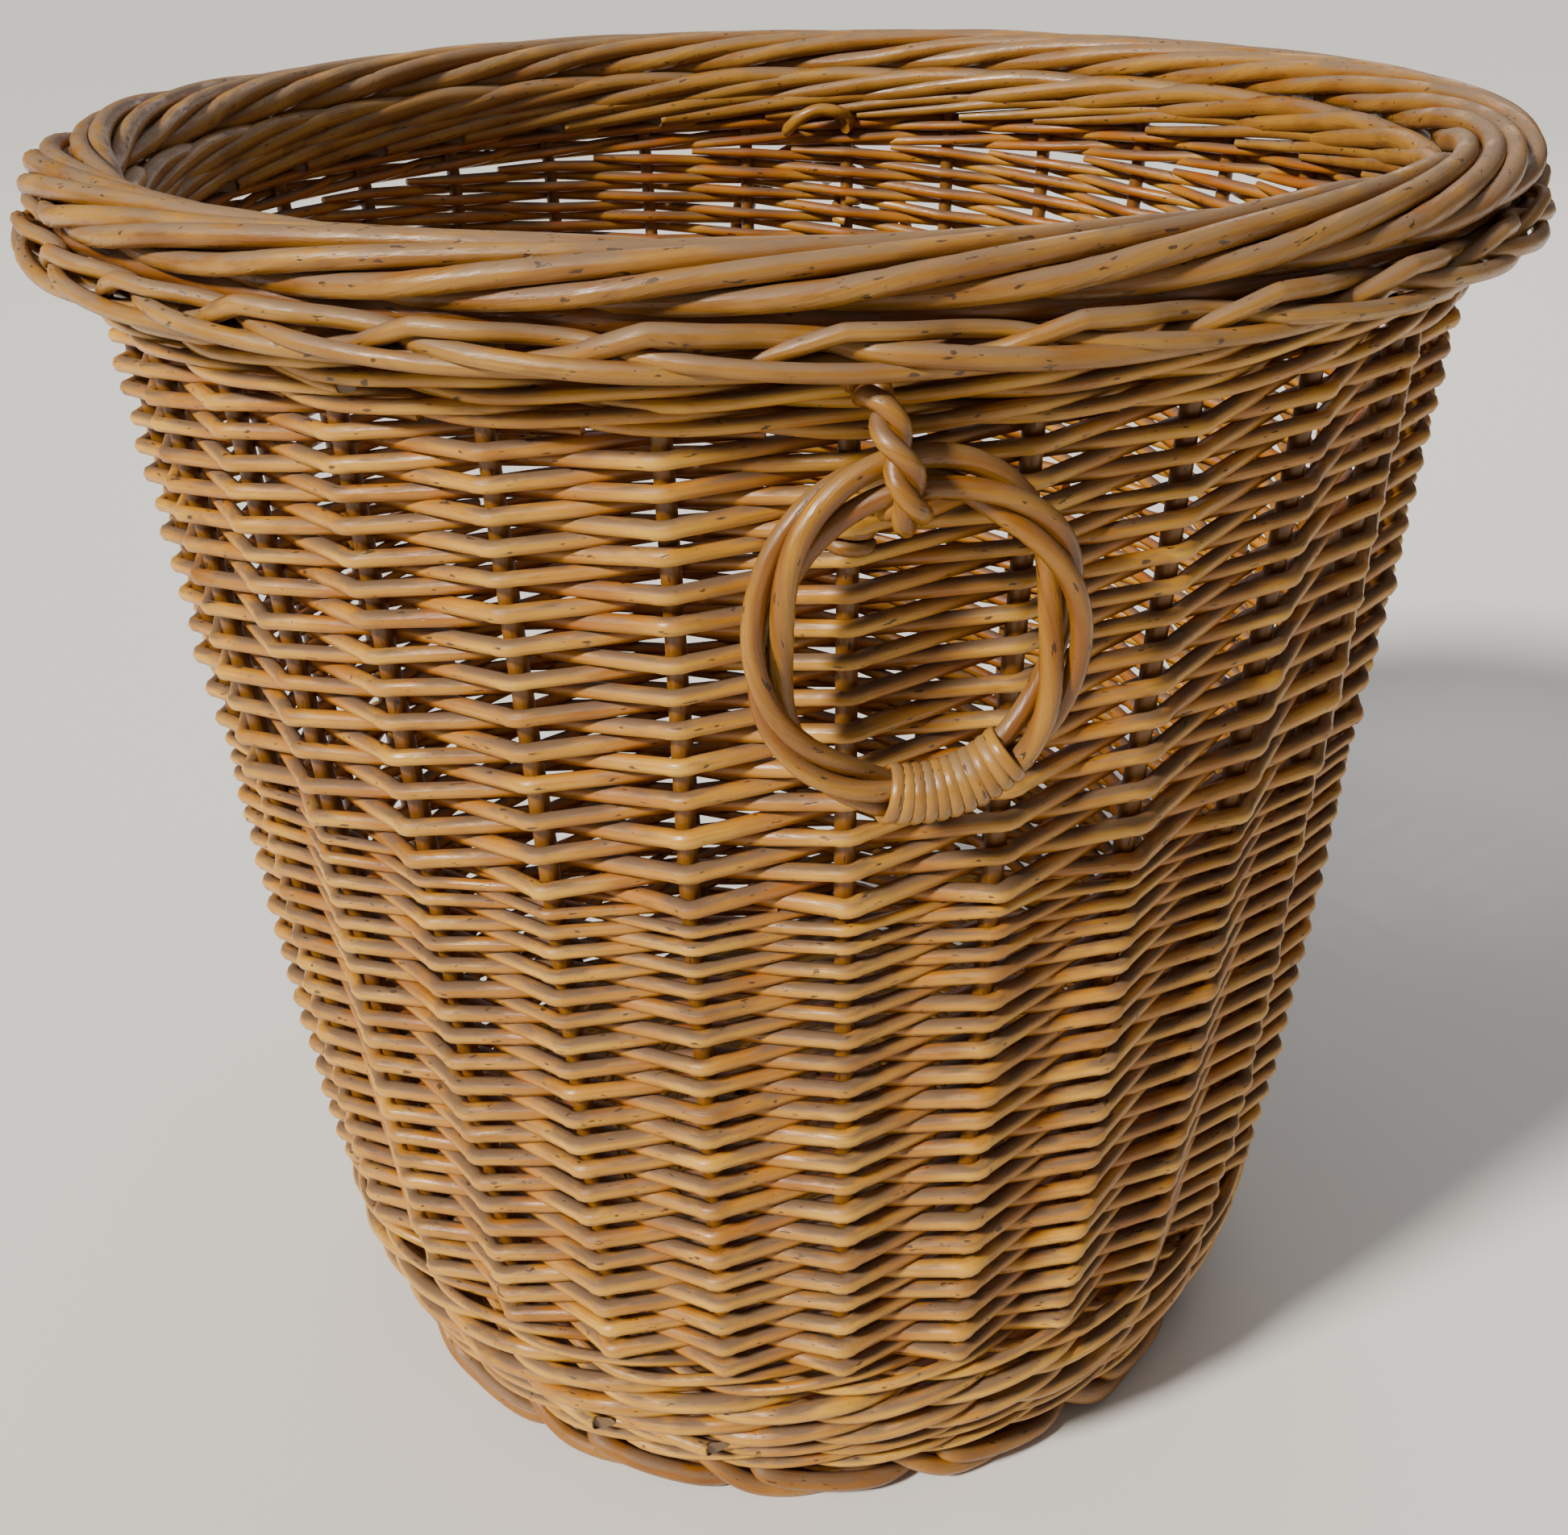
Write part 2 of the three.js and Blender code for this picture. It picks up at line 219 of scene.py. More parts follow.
class Bundle:
    """Rods gathered into one mesh, with what the willow material reads at each vertex."""

    def __init__(self):
        self.places, self.faces, self.grain, self.rod, self.inside, self.cut = [], [], [], [], [], []
        self.count = 0

    def add(
        self, lines, radii, sides=8, up=UP, flat=1.0, inside=0.0, seam=0.0, cut_ends=False, slant=0.0
    ):
        """lines (rods, points, 3) and radii that broadcast to (rods, points). up is each section's own
        up, towards the rod next to it. inside paints shade over the whole section, and the number
        after it paints shade on the section's top and bottom, where they touch the rods beside it.
        A slant turns the last end's cut face outward, or inward where it is below zero."""
        lines = np.asarray(lines, float)
        rods, points = lines.shape[:2]
        radii = np.broadcast_to(radii, (rods, points))[..., None, None]
        tangent = unit(np.gradient(lines, axis=1))
        side = unit(np.cross(tangent, np.broadcast_to(up, lines.shape)))
        top = np.cross(side, tangent)
        a = np.arange(sides) / sides * 2 * math.pi
        cos, sin = np.cos(a)[:, None], np.sin(a)[:, None]
        across = cos * side[:, :, None] + flat * sin * top[:, :, None]
        rings = lines[:, :, None] + radii * across
        rings[:, -1] -= slant * radii[:, -1] * cos * tangent[:, -1:]
        lengths = np.linalg.norm(np.diff(lines, axis=1), axis=2)
        along = np.concatenate([np.zeros((rods, 1)), np.cumsum(lengths, 1)], 1)
        along = along + rng.uniform(0, 4000, (rods, 1))
        grain = np.zeros(rings.shape)
        grain[..., 0] = along[..., None]
        grain[..., 1] = radii[..., 0] * np.cos(a)
        grain[..., 2] = radii[..., 0] * np.sin(a)
        tone = rng.uniform(0, 1, (rods, 1, 1)) * np.ones((1, points, sides))
        # Painted shade: the section's top and bottom, where it meets the rods beside it, are darkened
        # on top of the shade that inside paints.
        crevice_mask = np.clip(2.2 * np.abs(np.sin(a)) - 1.2, 0, 1)
        painted_shade = np.broadcast_to(inside, (rods, points))[..., None] + seam * crevice_mask
        index = self.count + np.arange(rods * points * sides).reshape(rods, points, sides)
        turned = np.roll(index, -1, axis=2)
        quads = np.stack(
            [index[:, :-1], index[:, 1:], turned[:, 1:], turned[:, :-1]], -1
        ).reshape(-1, 4)
        self._store(rings, quads, grain, tone, painted_shade, 0.0)
        for end in (0, -1):
            order = np.arange(sides) if end == 0 else np.arange(sides)[::-1]
            face = self.count + np.arange(rods * sides).reshape(rods, sides)[:, order]
            self._store(
                rings[:, end], face, grain[:, end], tone[:, end], painted_shade[:, end], float(cut_ends)
            )

    def _store(self, places, faces, grain, tone, painted_shade, cut):
        self.places.append(places.reshape(-1, 3))
        self.faces.extend(faces.tolist())
        self.grain.append(grain.reshape(-1, 3))
        self.rod.append(tone.reshape(-1))
        self.inside.append(painted_shade.reshape(-1))
        self.cut.append(np.full(tone.size, cut))
        self.count += tone.size

    def piece(self, name, material, body, stands_for):
        mesh = bpy.data.meshes.new(name)
        mesh.from_pydata((np.concatenate(self.places) * MM).tolist(), [], self.faces)
        mesh.polygons.foreach_set("use_smooth", np.ones(len(self.faces), bool))
        grain = mesh.attributes.new("grain", "FLOAT_VECTOR", "POINT")
        grain.data.foreach_set("vector", np.concatenate(self.grain).astype(np.float32).ravel())
        # The inside attribute carries the painted shade of each vertex.
        for label, values in (("rod", self.rod), ("inside", self.inside), ("cut", self.cut)):
            attribute = mesh.attributes.new(label, "FLOAT", "POINT")
            attribute.data.foreach_set("value", np.concatenate(values).astype(np.float32))
        mesh.materials.append(material)
        made = bpy.data.objects.new(name, mesh)
        bpy.context.scene.collection.objects.link(made)
        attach(made, body)
        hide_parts(*stands_for)
        return made


# ---------------------------------------------------------------- willow

def node(tree, kind, **values):
    made = tree.nodes.new(kind)
    for key, value in values.items():
        setattr(made, key, value)
    return made


def mixed(tree, factor, a, b):
    mix = node(tree, "ShaderNodeMix", data_type="RGBA")
    for socket, value in ((mix.inputs[0], factor), (mix.inputs[6], a), (mix.inputs[7], b)):
        if isinstance(value, (tuple, float, int)):
            socket.default_value = (*value, 1) if isinstance(value, tuple) else value
        else:
            tree.links.new(value, socket)
    return mix.outputs[2]


def ranged(tree, value, low, high, to_low=0.0, to_high=1.0):
    made = node(tree, "ShaderNodeMapRange", interpolation_type="SMOOTHSTEP")
    tree.links.new(value, made.inputs[0])
    for i, number in enumerate((low, high, to_low, to_high)):
        made.inputs[1 + i].default_value = number
    return made.outputs[0]


def maths(tree, operation, a, b):
    made = node(tree, "ShaderNodeMath", operation=operation)
    for socket, value in zip(made.inputs, (a, b)):
        if isinstance(value, (float, int)):
            socket.default_value = value
        else:
            tree.links.new(value, socket)
    return made.outputs[0]


def noise(tree, source, scale, detail=3.0, stretch=(1, 1, 1)):
    """Noise over the rod's own length, breadth and height, in millimetres."""
    mapping = node(tree, "ShaderNodeMapping")
    mapping.inputs["Scale"].default_value = stretch
    tree.links.new(source, mapping.inputs[0])
    made = node(tree, "ShaderNodeTexNoise")
    made.inputs["Scale"].default_value = scale
    made.inputs["Detail"].default_value = detail
    tree.links.new(mapping.outputs[0], made.inputs["Vector"])
    return made.outputs["Fac"]


def willow(name, light, deep, dusty, dust=1.0, shine=0.34):
    """Buff willow: streaked along the rod, with dust on what faces up, and browner with painted shade.
    """
    material = bpy.data.materials.new(name)
    material.use_nodes = True
    tree = material.node_tree
    shader = tree.nodes["Principled BSDF"]
    grain = node(tree, "ShaderNodeAttribute", attribute_name="grain").outputs["Vector"]
    rod = node(tree, "ShaderNodeAttribute", attribute_name="rod").outputs["Fac"]
    inside = node(tree, "ShaderNodeAttribute", attribute_name="inside").outputs["Fac"]
    cut = node(tree, "ShaderNodeAttribute", attribute_name="cut").outputs["Fac"]
    normal = node(tree, "ShaderNodeNewGeometry").outputs["Normal"]
    split = node(tree, "ShaderNodeSeparateXYZ")
    tree.links.new(normal, split.inputs[0])
    upward = split.outputs["Z"]

    streaks = noise(tree, grain, 1.3, 4, (0.035, 1, 1))
    patches = noise(tree, grain, 0.05, 3, (1, 2, 2))
    fine = noise(tree, grain, 3.0, 3, (0.12, 1, 1))

    brown = ranged(tree, patches, 0.36, 0.68)
    brown = maths(tree, "ADD", maths(tree, "MULTIPLY", brown, 0.45), maths(tree, "MULTIPLY", rod, 0.4))
    colour = mixed(tree, brown, light, deep)
    colour = mixed(tree, ranged(tree, streaks, 0.45, 0.72, 0.0, 0.4), colour, deep)
    smudges = noise(tree, grain, 0.16, 4, (0.5, 1.5, 1.5))
    grime = tuple(c * 0.6 for c in deep)
    colour = mixed(tree, ranged(tree, smudges, 0.55, 0.75, 0.0, 0.55), colour, grime)
    # Painted shade: the inside attribute draws the colour towards a darker, redder brown in crevices,
    # deep in the weave and on the backing rods.
    shaded = (0.85 * deep[0], 0.58 * deep[1], 0.4 * deep[2])
    colour = mixed(tree, maths(tree, "MULTIPLY", inside, 0.7), colour, shaded)

    dust_noise = noise(tree, grain, 0.11, 4, (0.6, 2, 2))
    dust_noise = ranged(tree, dust_noise, 0.32, 0.58)
    dust_amount = maths(tree, "MULTIPLY", ranged(tree, upward, 0.1, 0.8), dust_noise)
    dust_amount = maths(tree, "MULTIPLY", dust_amount, 0.75 * dust)
    colour = mixed(tree, dust_amount, colour, dusty)

    speck_noise = noise(tree, grain, 0.55, 2, (0.42, 1.3, 1.3))
    speck = ranged(tree, speck_noise, 0.665, 0.72, 0.0, 0.85)
    colour = mixed(tree, speck, colour, (0.035, 0.016, 0.006))
    colour = mixed(tree, cut, colour, (0.17, 0.10, 0.05))
    tree.links.new(colour, shader.inputs["Base Color"])

    dust_rough = maths(tree, "MULTIPLY", dust_amount, 0.5)
    rough = maths(tree, "ADD", ranged(tree, fine, 0.3, 0.7, shine - 0.08, shine + 0.1), dust_rough)
    tree.links.new(rough, shader.inputs["Roughness"])
    shader.inputs["Specular IOR Level"].default_value = 0.5

    fine_height = maths(tree, "MULTIPLY", fine, 0.35)
    height = maths(tree, "ADD", maths(tree, "MULTIPLY", streaks, 0.6), fine_height)
    height = maths(tree, "SUBTRACT", height, maths(tree, "MULTIPLY", speck, 0.5))
    bump = node(tree, "ShaderNodeBump")
    bump.inputs["Strength"].default_value = 0.35
    bump.inputs["Distance"].default_value = 0.5 * MM
    tree.links.new(height, bump.inputs["Height"])
    tree.links.new(bump.outputs[0], shader.inputs["Normal"])
    return material


# Each willow has a light tone, a deep one and the colour of its dust.
WEAVER = willow(
    "weaver_willow", (0.63, 0.335, 0.036), (0.30, 0.100, 0.006), (0.108, 0.064, 0.036), dust=1.2
)
BORDER = willow(
    "border_willow", (0.39, 0.198, 0.030), (0.18, 0.062, 0.006), (0.155, 0.102, 0.062)
)
STAKE = willow(
    "stake_willow", (0.26, 0.112, 0.014), (0.13, 0.043, 0.005), (0.12, 0.08, 0.045), dust=0.5
)
FOOT = willow(
    "base_willow", (0.36, 0.160, 0.019), (0.19, 0.061, 0.005), (0.12, 0.076, 0.043), dust=0.9
)
RING = willow(
    "ring_willow", (0.39, 0.188, 0.021), (0.17, 0.058, 0.005), (0.14, 0.09, 0.05), 0.8, shine=0.27
)
SKEIN = willow(
    "skein", (0.44, 0.225, 0.036), (0.23, 0.090, 0.010), (0.16, 0.11, 0.065), 0.8, shine=0.3
)


# ---------------------------------------------------------------- stakes

def stakes():
    z = np.linspace(STAKE_Z[0], STAKE_Z[-1], 24)
    directions = FIRST_STAKE + STEP * np.arange(STAKE_COUNT)
    sway = rng.normal(0, 0.12, (STAKE_COUNT, 6))
    sway = np.stack([np.interp(z, np.linspace(z[0], z[-1], 6), row) for row in sway])
    lines = polar(directions[:, None] + sway, wall_radius(z), z)
    bundle = Bundle()
    # inside=0.2 paints a little shade over the whole of every stake.
    bundle.add(lines, stake_half(z), up=np.array([0.3, 0.95, 0.0]), inside=0.2)
    names = [n for n in frame["nodes"] if n.startswith("stake_")]
    bundle.piece("stake_rods", STAKE, "basket", names)


# ---------------------------------------------------------------- the two bands of weaving

def randed_band(name, band, pitches, thicknesses, cad_node):
    """French randing: one rod started at every stake, each going in front of one stake and behind
    the next and climbing one row at a stake, so even rows lie in front of every stake."""
    pitches = np.asarray(pitches) * (band[1] - band[0]) / np.sum(pitches)
    rows = len(pitches)
    heights = band[0] + np.cumsum(pitches) - pitches / 2
    row = np.concatenate([[0], np.arange(rows), [rows - 1]])
    z = heights[row].astype(float)
    z[0] -= pitches[0] * 0.4
    z[-1] += pitches[-1] * 0.3
    front = np.where(np.arange(-1, rows + 1) % 2 == 0, 1.0, -1.0)
    front[-1] = -0.5
    steps = np.arange(-1, rows + 1).astype(float)
    steps[0] += 0.35
    steps[-1] -= 0.45
    shape = (STAKE_COUNT, rows + 2)
    thick = np.asarray(thicknesses)[row] / 2 * rng.normal(1, 0.05, (STAKE_COUNT, 1))
    thick = thick * rng.normal(1, 0.025, shape)
    thick[:, -1] *= 0.6
    directions = FIRST_STAKE + STEP * (np.arange(STAKE_COUNT)[:, None] + steps)
    z = z + rng.normal(0, 0.3, shape)
    away = front * (stake_half(z) + thick * 0.93) + rng.normal(0, 0.2, shape)
    keys = polar(directions, wall_radius(z) + away, z)
    lines, radii = bent(keys, thick, 0.1)
    distance = np.hypot(lines[..., 0], lines[..., 1])
    # Painted shade: rods darken the further they lie in behind the stakes, and where they touch the
    # rows above and below.
    inside = np.clip((wall_radius(lines[..., 2]) - distance) / 4 + 0.3, 0, 1)
    bundle = Bundle()
    bundle.add(lines, radii, inside=inside, seam=0.55)
    bundle.piece(name, WEAVER, "basket", [cad_node])


def lower_band():
    s = np.linspace(0, 1, 40)
    pitches = 1 - 0.43 * s**3
    scale = (LOWER[1] - LOWER[0]) / pitches.sum()
    randed_band("lower_weave_rods", LOWER, pitches, 1.1 * scale * pitches, "lower_weave")


def upper_band():
    s = np.linspace(0, 1, 28)
    randed_band("upper_weave_rods", UPPER, 4.9 - 1.7 * s, 4.3 - 0.7 * s, "upper_weave")


# ---------------------------------------------------------------- waling

def wale(bundle, bottom, laps):
    """Three-rod waling: each rod goes in front of two stakes and behind one, climbing over the next
    rod's start. laps are (thickness, height) from the bottom up."""
    z0 = bottom
    for thickness, height in laps:
        middle = z0 + height / 2
        for first in range(3):
            steps = np.arange(first, first + STAKE_COUNT + 1)
            phase = (steps - first) % 3
            z = middle + np.array([0.0, -0.25, 0.25])[phase] * height
            z = z + rng.normal(0, 0.25, len(steps))
            sign = np.array([-1.0, 1.0, 1.0])[phase]
            radii = thickness / 2 * rng.normal(1, 0.06, len(steps))
            away = sign * (stake_half(z) + radii * 0.9)
            keys = polar(FIRST_STAKE + STEP * steps, wall_radius(z) + away, z)
            line = smooth(keys[None], 7)
            thick = np.interp(np.arange(line.shape[1]) / 7, np.arange(len(steps)), radii)[None]
            # Painted shade: rods darken the further they lie in behind the stakes, and where they touch
            # the rods above and below.
            distance = np.hypot(line[..., 0], line[..., 1])
            inside = np.clip((wall_radius(line[..., 2]) - distance) / 4 + 0.3, 0, 1)
            bundle.add(line, thick, inside=inside, seam=0.55)
        z0 += height


def cut_end(bundle, direction, z, thickness, proud):
    """A rod's butt that comes out of the weaving between two stakes, cut on a long slant."""
    out = wall_radius(z) + stake_half(z) + proud
    keys = [(-9, out - 4.5, z + 1.2), (-5, out - 1.6, z + 0.5), (-1.5, out, z), (0, out + 0.2, z)]
    bundle.add(around(keys, [direction], 4), thickness / 2, cut_ends=True, slant=1.9)


def upsett():
    bundle = Bundle()
    shares = np.array([(3.2, 6.6), (3.4, 6.9), (5.2, 11.6), (4.9, 11.0), (3.4, 9.2)])
    bottom = UPSETT[0] - 2.3
    shares[:, 1] *= (UPSETT[1] - bottom) / shares[:, 1].sum()
    wale(bundle, bottom, shares)
    for direction in (-25.5, -12.0, 81, 117, 153, 201, 249):
        cut_end(bundle, direction, bottom + 13, 4.2, 5.2)
    bundle.piece("upsett_wale_rods", WEAVER, "basket", ["upsett_wale"])


def top_wale():
    bundle = Bundle()
    height = (TOP_WALE[1] - TOP_WALE[0]) / 2
    wale(bundle, TOP_WALE[0], [(3.2, height), (3.2, height)])
    for direction in (-31.0, 57, 129, 165, 213, 297):
        cut_end(bundle, direction, TOP_WALE[0] + height, 2.4, 2.4)
    bundle.piece("top_wale_rods", WEAVER, "basket", ["top_wale"])


# ---------------------------------------------------------------- foot and base

def backing(bundle, points, reach_mm, z, wave, rise, radius, painted_shade):
    """A wavy rod laid in a ring behind open work, where the inner ends of the rods fill it; its dark
    colour is painted shade.
    """
    steps = np.arange(points)
    out = reach_mm + wave * np.cos(math.pi * steps)
    keys = polar(BACKING_STEP * steps, out, z + rise * np.sin(steps))
    bundle.add(smooth(keys[None], 4), radius, inside=painted_shade)


def foot_trac():
    """Pairs of rods: the first slants down to the floor, the second kinks out over it."""
    turns = FOOT_FIRST + 360 / FOOT_PAIRS * np.arange(FOOT_PAIRS)
    radius = 2.9
    edge = FOOT_REACH - radius
    slanting = [
        (-6, edge - 7, 15), (-2.5, edge - 1, 14.6), (0, edge + 1.5, 12.4), (2.6, edge + 2.6, 8.6),
        (5.5, edge + 2.6, 5.2), (9, edge + 1.6, 3.4), (13, edge, 2.9), (18, edge - 2.5, 2.9),
        (24, edge - 6, 4), (28, edge - 9, 6),
    ]
    kinked = [
        (7.4, edge - 7, 11.2), (7.5, edge - 2, 11.2), (7.9, edge + 2.0, 10.8), (9.2, edge + 3.5, 9.6),
        (12.5, edge + 3.2, 7.6), (18, edge + 2.4, 5.6), (23, edge + 0.8, 4.2), (27, edge - 3, 4.5),
        (31, edge - 8, 6.5),
    ]
    bundle = Bundle()
    # The rods get painted shade where they touch each other, and the backing rings below are dark with
    # painted shade.
    for keys in (slanting, kinked):
        lines = around(keys, turns + rng.normal(0, 0.9, FOOT_PAIRS))
        bundle.add(lines, radius * rng.normal(1, 0.06, (FOOT_PAIRS, 1)), seam=0.4)
    for z in (4.5, 10.0, 15.5):
        backing(bundle, 63, edge - 6.5, z, 0.9, 0.4, radius=3.2, painted_shade=0.9)
    bundle.piece("foot_trac_rods", FOOT, "basket", ["foot_border"])


def base():
    """Eight sticks crossed in the middle and opened out, with pairing woven round them."""
    middle = (BASE[0] + BASE[1]) / 2
    stick_radius = 3.6
    spacing = 9.6
    bundle = Bundle()
    for turn in (0, 90):
        for i in range(4):
            side = i - 1.5
            fan = math.radians(side * 22.5)
            half = [(BASE_REACH * math.cos(fan), BASE_REACH * math.sin(fan))]
            half += [(60 * math.cos(fan), 60 * math.sin(fan))]
            half += [(30, side * spacing), (12, side * spacing)]
            flat = np.array(half + [(-x, y) for x, y in half[::-1]])
            a = math.radians(turn)
            x = flat[:, 0] * math.cos(a) - flat[:, 1] * math.sin(a)
            y = flat[:, 0] * math.sin(a) + flat[:, 1] * math.cos(a)
            lift = 0.8 if turn else -0.8
            keys = np.stack([x, y, np.full(len(x), middle + lift)], -1)
            bundle.add(smooth(keys[None], 5), stick_radius)
    names = [n for n in frame["nodes"] if n.startswith("base_stick")]
    bundle.piece("base_sticks", FOOT, "basket", names)

    woven = Bundle()
    for row, radius in enumerate(np.arange(34, BASE_REACH, 3.7)):
        for side in (0, 1):
            steps = np.arange(0, 18)
            sign = np.where((steps + side + row) % 2 == 0, 1.0, -1.0)
            z = middle + sign * (stick_radius + 1.2)
            keys = polar(11.25 + 22.5 * steps, radius, z)
            woven.add(smooth(keys[None], 4), 1.75, sides=6)
    woven.piece("base_weave_rods", WEAVER, "basket", ["base_weave"])


# ---------------------------------------------------------------- border

def border_roll():
    """One thick rod from each stake, rolled over the rim: up the outside, over and down the inside.
    A lap is a share of the way round the roll's flattened section, counted from its outermost point."""
    radius = 2.6
    flat_half = 6.5
    across, upright = ROLL_HALF_WIDTH - radius, flat_half - radius
    stakes_a_lap = 7.6
    a = np.linspace(-math.pi, 2 * math.pi, 601)
    strides = np.hypot(across * np.diff(np.cos(a)), upright * np.diff(np.sin(a)))
    walked = np.concatenate([[0], np.cumsum(strides)])
    laps = np.linspace(-0.33, 0.78, 72)
    a = np.interp(laps, 1.5 * walked / walked[-1] - 0.5, a)
    count = STAKE_COUNT
    lag = rng.normal(0, 0.12, (count, 1))
    swell = rng.normal(0, 0.35, (count, 7))
    swell = np.stack([np.interp(laps, np.linspace(laps[0], laps[-1], 7), row) for row in swell])
    sink = np.interp(laps, [-0.33, -0.1, 0.6, 0.78], [-1.2, 0.3, 0.3, -1.2])
    directions = FIRST_STAKE + STEP * (np.arange(count)[:, None] + lag + stakes_a_lap * laps)
    thick = radius * rng.normal(1, 0.06, (count, 1)) * (1.02 - 0.09 * np.cos(np.radians(directions)))
    outward = polar(directions, 1.0, 0.0)
    beside = -across * np.sin(a)[:, None] * outward + upright * np.cos(a)[:, None] * UP
    bundle = Bundle()
    # The outer rods, and squeezed in behind them a core of thinner rods dark with painted shade; all
    # get painted shade where they touch.
    for squeeze, painted_shade in ((1.0, 0.0), (0.42, 1.0)):
        out = ROLL_RADIUS + squeeze * (across + swell + sink) * np.cos(a)
        z = ROLL[1] - flat_half - 0.3 + squeeze * (upright + swell + sink) * np.sin(a)
        bundle.add(
            polar(directions + 6 * painted_shade, out, z), thick * (1 - 0.3 * painted_shade),
            sides=10, up=beside, inside=painted_shade, seam=0.6,
        )
    bundle.piece("border_roll_rods", BORDER, "basket", ["border_roll"])


def border_trac():
    """The follow-on plait under the roll: each rod rises from behind, peaks under the roll, drops
    behind the next rod, comes out under its peak and runs down along the bottom edge."""
    radius = 1.95
    out = TRAC_REACH - radius
    low = levels("border_trac")[0] + 3.2
    keys = [
        (-0.30, out - 8.5, low + 2.0), (0.0, out - 4.8, low + 3.4), (0.2, out - 2.2, low + 6.2),
        (0.38, out - 1.0, low + 8.6), (0.46, out - 0.9, low + 9.0), (0.7, out - 1.8, low + 8.5),
        (0.95, out - 5.0, low + 7.6), (1.2, out - 6.0, low + 6.6), (1.38, out - 3.6, low + 5.3),
        (1.46, out - 2.2, low + 5.1), (1.72, out, low + 4.3), (2.05, out + 0.3, low + 3.1),
        (2.45, out - 0.4, low + 2.2), (2.9, out - 2.6, low + 1.9), (3.3, out - 4.6, low + 2.2),
        (3.65, out - 8.5, low + 4.0),
    ]
    keys = [(u * STEP, r, z) for u, r, z in keys]
    turns = FIRST_STAKE + STEP * (np.arange(STAKE_COUNT) + 0.57) + rng.normal(0, 0.9, STAKE_COUNT)
    lines = around(keys, turns, 5)
    lines = lines + rng.normal(0, 0.25, (STAKE_COUNT, 1, 3))
    bundle = Bundle()
    thick = radius * rng.normal(1, 0.06, (STAKE_COUNT, 1))
    # Painted shade where the rods touch, and backing rods behind them, dark with painted shade.
    bundle.add(lines, thick, seam=0.6, cut_ends=True)
    for inset, height in ((9.0, 3.5), (10.5, 9.0), (13.0, 12.5)):
        backing(bundle, 62, out - inset, low + height, 0.7, 0.5, radius=2.9, painted_shade=1.0)
    bundle.piece("border_trac_rods", BORDER, "basket", ["border_trac"])


def border_tails():
    """What shows under the roll from inside: a row of thick rods, and below it the rods' ends, some
    cut off and the others thin."""
    top = levels("border_tails")[1]
    wall = float(wall_radius(top)) - float(stake_half(top))
    turns = FIRST_STAKE + STEP * np.arange(STAKE_COUNT)
    row = [
        (-0.9, wall + 1, top + 7.1), (-0.4, wall - 2.4, top + 9.4), (0.2, wall - 3.6, top + 9.8),
        (0.8, wall - 3.9, top + 7.6), (1.3, wall - 3.6, top + 5.2), (1.7, wall - 2.0, top + 3.4),
        (2.0, wall + 1.0, top + 2.6),
    ]
    ends = [
        (-0.6, wall + 0.5, top + 3.6), (-0.1, wall - 2.8, top + 3.4), (0.5, wall - 3.6, top + 1.9),
        (1.1, wall - 3.3, top - 0.6), (1.6, wall - 2.9, top - 2.2), (1.9, wall - 2.8, top - 2.9),
    ]
    row = [(u * STEP, r, z) for u, r, z in row]
    ends = [(u * STEP, r, z) for u, r, z in ends]
    bundle = Bundle()
    thick = 2.9 * rng.normal(1, 0.06, (STAKE_COUNT, 1))
    # The row and the ends get painted shade where they touch the rods beside them.
    bundle.add(around(row, turns + rng.normal(0, 0.8, STAKE_COUNT)), thick, seam=0.5)
    turns = turns + rng.normal(0, 1.2, STAKE_COUNT)
    butts = (turns > 163) & (turns < 300)
    bundle.add(around(ends, turns[butts]), 2.5, seam=0.4, cut_ends=True, slant=-1.6)
    tips = around(ends, turns[~butts])
    bundle.add(tips, np.linspace(2.4, 1.3, tips.shape[1]), seam=0.4)
    bundle.piece("border_tail_rods", BORDER, "basket", ["border_tails"])


# ---------------------------------------------------------------- ring handles

RING_TUBE = 5.0
RING_WIDTH_TO_HEIGHT = 29 / 33
RING_STRANDS = 3
RING_TWISTS = 2.0
STRAND_RADIUS = 2.25
STRAND_OFFSET = 3.05
SKEIN_TURNS = 11
SKEIN_FROM = 0.53
SKEIN_SHARE = 0.145
SKEIN_OFFSET = 5.5
TIE_RADIUS = 2.05
TIE_OFFSET = 1.75
TIE_PITCH = 17
WRAP_TURNS = 2
WRAP_PITCH = 3.5


